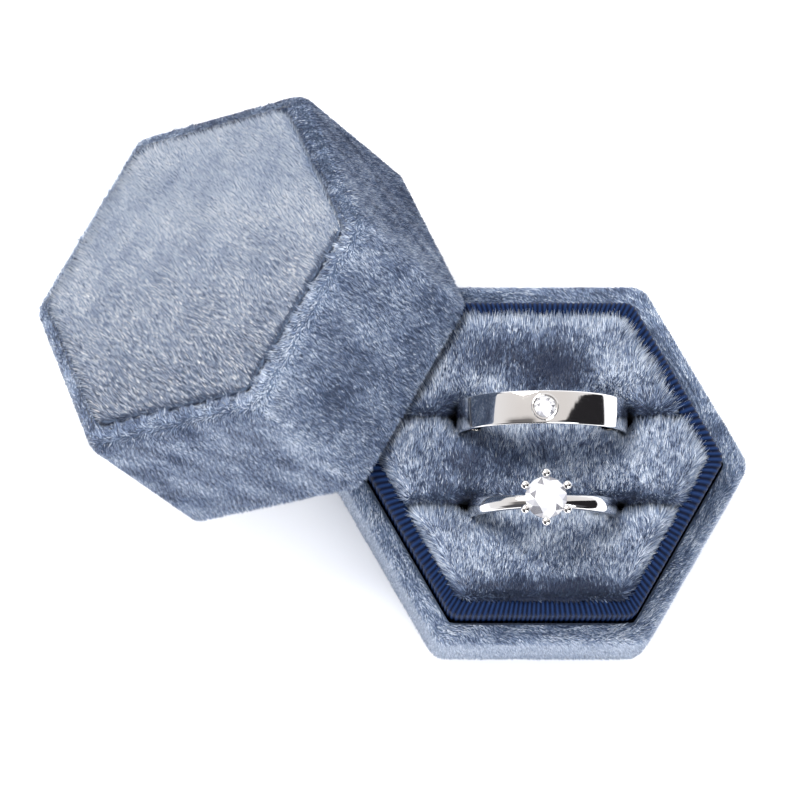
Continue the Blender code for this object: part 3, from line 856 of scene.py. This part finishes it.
def solitaire_ring():
    """The shank's section is a rounded ridge, which slims by a power of the height round the ring."""
    low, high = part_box("solitaire_shank")
    outer = (high.x - low.x) / 2 / MM
    depth = 1.55
    inner = outer - depth
    centre = ((high.x + low.x) / 2 / MM, (high.y + low.y) / 2 / MM, low.z / MM + outer)

    def section(turn):
        up = (1 + np.sin(turn)) / 2
        half = 1.22 - 0.40 * up ** 6
        thick = depth - 0.15 * up ** 3
        y = np.array([0.0, 0.25, 0.55, 0.80, 0.94, 1.0, 0.95, 0.72, 0.35])
        r = np.array([1.0, 0.985, 0.94, 0.87, 0.76, 0.56, 0.22, 0.06, 0.0])
        y = np.concatenate([y, [0.0], -y[:0:-1]])
        r = np.concatenate([r, [0.0], r[:0:-1]])
        return inner + r * thick, y * half

    hoop("solitaire_hoop", centre, section, 320, "solitaire_shank", "solitaire_ring")
    stone_low, stone_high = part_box("solitaire_stone")
    radius = (stone_high.x - stone_low.x) / 2 / MM
    girdle = stone_low.z / MM + 0.86 * radius
    seat = (centre[0], centre[1], girdle)
    brilliant("solitaire_brilliant", seat, radius, "solitaire_stone", "solitaire_ring", pi / 16)
    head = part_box("solitaire_head")
    foot = head[0].z / MM
    collet = turned("solitaire_collet", (centre[0], centre[1], foot),
                    [(0.35, 0.0), (1.05, 0.0), (1.30, 0.25), (1.32, 0.55), (1.05, 0.75), (0.35, 0.7)],
                    "solitaire_ring")
    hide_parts("solitaire_head")
    turned("solitaire_rail", (centre[0], centre[1], foot + 1.75),
           [(2.0, 0.0), (2.12, -0.2), (2.32, -0.22), (2.5, 0.0), (2.32, 0.22), (2.12, 0.2)],
           "solitaire_ring")
    for i in range(6):
        claw("solitaire_claw_" + str(i + 1), centre, pi / 2 + i * pi / 3, foot + 0.1, girdle + 0.85)


solitaire_ring()


# ---------------------------------------------------------------- velvet on the lid
# The same velvet in two parts: one round the sides, over the rounded top edge and into a groove, and
# a panel laid on top whose pile spills over the groove.  The lid leans on the tray, rim down.

def lid_place():
    """The lid's turn and place, from its top panel: its own origin is the centre of its rim."""
    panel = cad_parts["lid_top_velvet"].data
    points = np.empty(len(panel.vertices) * 3, dtype=np.float32)
    panel.vertices.foreach_get("co", points)
    points = points.reshape(-1, 3).astype(float) / MM
    middle = (points.max(0) + points.min(0)) / 2
    axis = np.linalg.svd(points - points.mean(0))[2][2]
    axis = axis * np.sign(axis[2])
    side = np.cross([0.0, 0.0, 1.0], axis)
    cross = np.array([[0, -side[2], side[1]], [side[2], 0, -side[0]], [-side[1], side[0], 0]])
    turn = np.eye(3) + cross + cross @ cross / (1 + axis[2])
    return turn, middle, axis


LID_TURN, LID_PANEL_MIDDLE, LID_AXIS = lid_place()
LID_HEIGHT = 23.4
LID_CLOTH = 0.6
LID_ORIGIN = LID_PANEL_MIDDLE - LID_AXIS * (LID_HEIGHT - LID_CLOTH / 2)


def on_lid(points):
    """Takes points from the lid's own frame to where it leans."""
    return points @ LID_TURN.T + LID_ORIGIN


def lid_velvet():
    """The side skin is a closed section carried round the hexagon, and the panel is a low crown."""
    out = SIDE - STAND
    top = LID_HEIGHT - STAND
    hem = 21.5          # inradius that the velvet reaches inside the rim
    cloth = 0.4         # thickness on the sides
    fold = 21.2         # inradius where the side velvet turns down into the groove
    panel_out = 20.3    # inradius of the top panel
    section = rounded([(hem, 0.0), (out, 0.0), (out, top), (fold, top), (20.0, top - 0.40),
                       (out - cloth, top - 0.50), (out - cloth, 0.5), (hem, 0.5)],
                      [0, 0.5, 2.4, 0.2, 0, 2.0, 0, 0], 7)
    section = split_long(section, 1.5, closed=True)
    grid = carried(section, 300, CORNER)
    skin = put_mesh("lid_side_ground", on_lid(grid), grid_faces(*grid.shape[:2], True), [GROUND],
                    "lid")
    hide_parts("lid_side_velvet")
    level = np.linspace(0, 1, 16)
    crown = np.stack([panel_out * (1 - level), top + 0.05 + 0.25 * (1 - (1 - level) ** 2)], -1)
    crown = np.concatenate([[(panel_out, top - 0.5), (20.5, top - 0.4)], crown])
    grid = carried(crown, 300, CORNER)
    panel = put_mesh("lid_top_ground", on_lid(grid), grid_faces(*grid.shape[:2]), [GROUND],
                     "lid", weld=True)
    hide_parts("lid_top_velvet")

    # On the top the pile lies one way.  It spills outwards over the far groove, and is ragged along
    # the near one, where the fibres at the seam are painted dark as shade in the groove.
    brush = np.array([0.574, -0.819, 0.0])
    # The panel's fibres are lit copies of the velvet's shades, warmer and greyer as painted sheen.
    painted_sheen_fibres = fibre_shades("painted_sheen_fibre", (1.07, 1.01, 0.93))
    corners = triangles(carried(split_long(crown[1:], 0.9), 300, CORNER))
    places, normals = scatter(corners, 44.5, 31)
    facing = outward(places)
    reach = (places * facing).sum(-1)
    near = np.clip((reach - 19.2) / 1.0, 0, 1)
    far = near * np.clip(-1.15 * facing[:, 0] + 0.7 * facing[:, 1], 0, 1) ** 2
    seam = near * np.clip(0.1 + facing @ np.array([0.6, -0.8, 0.0]), 0, 1)
    ragged = np.maximum(ripple(places, 1.1, 33, 16), 0)
    lay = -brush + (2.2 * far + 0.9 * seam * ragged)[:, None] * facing
    # Painted shade: the panel's pile darkens towards -Y, and its grain and strands grow stronger that way.
    shaded = (places * [0.05, -1.0, 0.0]).sum(-1) / 20.0
    top_pile = pile("lid_top_pile", on_lid(places), normals @ LID_TURN.T, lay @ LID_TURN.T, "lid",
                    tone=0.22 - 0.95 * np.clip(shaded, -0.2, 1) - 2.4 * seam * (reach > 19.8),
                    length=0.7 + (1.0 * far + 0.3 * seam * ragged)[:, None], lean=40.0 + 24.0 * far,
                    width=0.062, swirl=0.2, patch=9.0, seed=32, mottle=0.28,
                    strand=0.45 + 0.7 * np.clip(shaded, -0.4, 1), fine=1.9,
                    grain=0.75 + 0.7 * np.clip(shaded, -0.5, 1), looks=painted_sheen_fibres)

    # On the sides the pile lies down and along, and turns in over the top edge.  Each side has its
    # own tone, painted light and shade for how the light falls on that side, and its own fibres per
    # square mm, counter-clockwise from the one that faces 30 degrees.
    rise = split_long(rounded([(out, 0.2), (out, top), (fold, top)], [0, 2.4, 0], 7), 0.8)
    corners = triangles(carried(rise, 480, CORNER))
    facing = np.floor(np.arctan2(corners.mean(1)[:, 1], corners.mean(1)[:, 0]) / (pi / 3)) % 6
    sides = ((-1.2, 70.0), (-1.9, 34.0), (0.2, 32.0), (-0.8, 34.0), (-0.65, 70.0), (-0.35, 70.0))
    for number, (tone, per_mm2) in enumerate(sides):
        places, normals = scatter(corners[facing == number], per_mm2, 40 + number)
        high = places[:, 2]
        ragged = ripple(places, 1.1, 60 + number, 16)
        inward = np.clip((high - top + 1.1 + 0.3 * ragged) / 1.1, 0, 1)[:, None]
        lay = (1.3 if number == 0 else 0.6) * brush - np.array([0.0, 0.0, 1.0])
        lay = lay + (0.5 - 2.6 * inward) * outward(places)
        lay = lay - 5.0 * inward * (1 - inward) * around(places)
        shade = np.full(len(places), tone)
        # Painted light and shade on single sides: the side facing 30 degrees is lighter towards its
        # clockwise end; the one facing 330 degrees is lighter by the top edge and at its clockwise end, and
        # darker towards the rim; those facing 90 and 270 degrees are lighter towards -X and +X.  The side
        # facing 330 degrees also has a darker patch halfway up, towards its clockwise end.
        if number == 0:
            slide = places @ np.array([-0.5, 0.866, 0.0])
            shade = shade + 0.8 * np.clip((2.0 - slide) / 10, 0, 1)
        if number == 5:
            side = around(np.array([[cos(-pi / 6), sin(-pi / 6), 0.0]]))[0]
            slide = places @ side
            shade = shade - 1.7 * np.exp(-((slide + 5.0) / 5.5) ** 2 - ((high - 11.5) / 5.5) ** 2)
            shade = shade + 0.55 * np.clip((high - 19.0) / 3, 0, 1)
            shade = shade - 0.6 * np.clip((11.0 - high) / 8, 0, 1)
            shade = shade + 0.9 * np.clip((-10.8 - slide) / 1.5, 0, 1)
        if number == 1:
            shade = shade + 1.6 * np.clip((-3.0 - places[:, 0]) / 7, 0, 1)
        if number == 4:
            shade = shade + 0.7 * np.clip((places[:, 0] - 9.5) / 3, 0, 1)
        pile("lid_side_pile_" + str(number + 1), on_lid(places), normals @ LID_TURN.T,
                          lay @ LID_TURN.T, "lid", tone=shade, width=0.060, lean=54.0, swirl=0.30,
                          length=0.54 + 0.4 * inward * np.maximum(ragged, 0)[:, None], patch=5.5,
                          seed=50 + number, mottle=0.75, strand=1.05, fine=1.7, grain=1.25)


lid_velvet()


# ---------------------------------------------------------------- inside of the lid
# A moulded board shell, lined with pale satin on card: one strip round the wall and a flat panel
# against the ceiling.

SATIN = mottled("pale_satin", (0.50, 0.54, 0.61), (0.64, 0.68, 0.75), 60.0, 6000.0, 0.38, 0.25,
                sheen=0.4)
dress(BOARD, "lid_shell")
dress(SATIN, "lid_lining_wall", "lid_lining_top")
